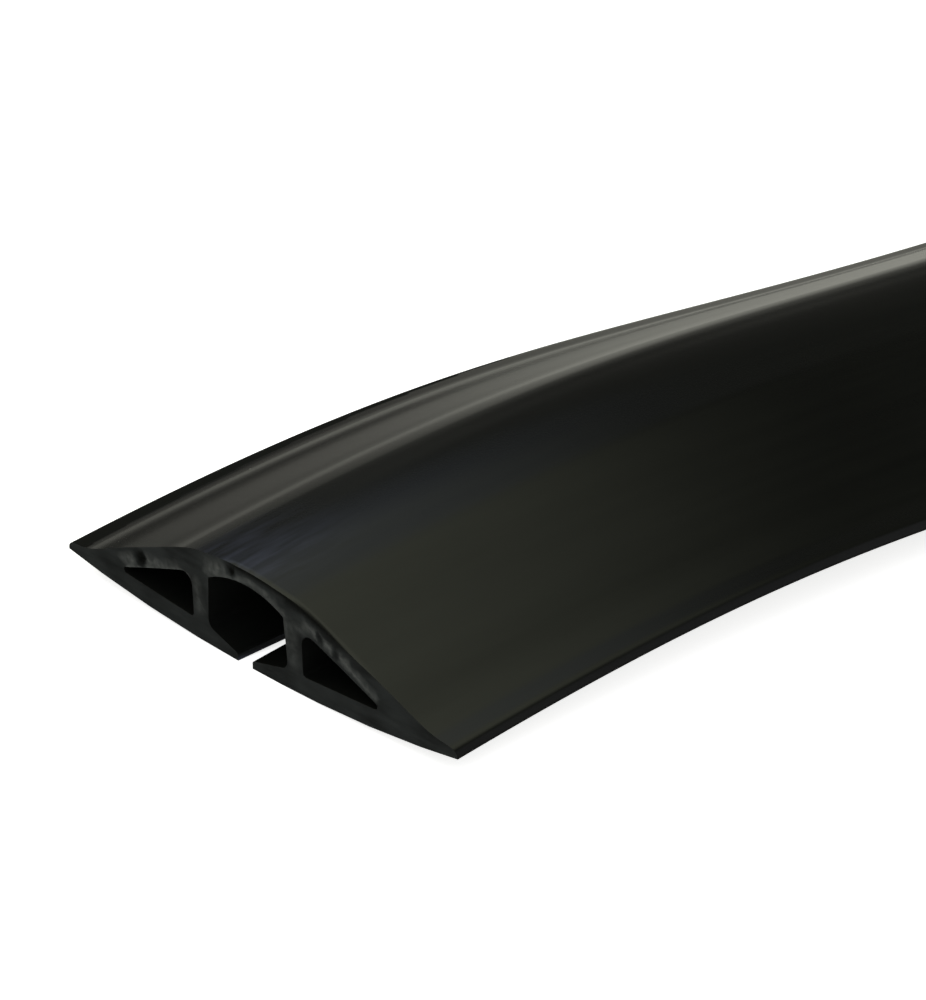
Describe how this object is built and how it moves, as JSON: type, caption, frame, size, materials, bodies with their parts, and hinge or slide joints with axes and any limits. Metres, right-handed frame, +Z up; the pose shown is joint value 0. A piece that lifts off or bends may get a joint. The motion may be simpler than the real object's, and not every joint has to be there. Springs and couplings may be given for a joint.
{
  "type": "floor cord cover",
  "caption": "Low flexible rubber strip that lies over a cord on the floor, with an arched top, side cells and a slit middle channel.",
  "frame": {"origin": "middle of the strip's length and width, on the floor that it lies on", "axes": "+Y along the strip, away from the end that rises a little, +X across it, +Z up"},
  "size_m": [0.0636, 1.5254, 0.0169],
  "materials": {
    "black_rubber": "satin extruded top and sides, matt cut ends"
  },
  "bodies": {
    "root": {"cover_strip": "black_rubber"}
  },
  "joints": []
}
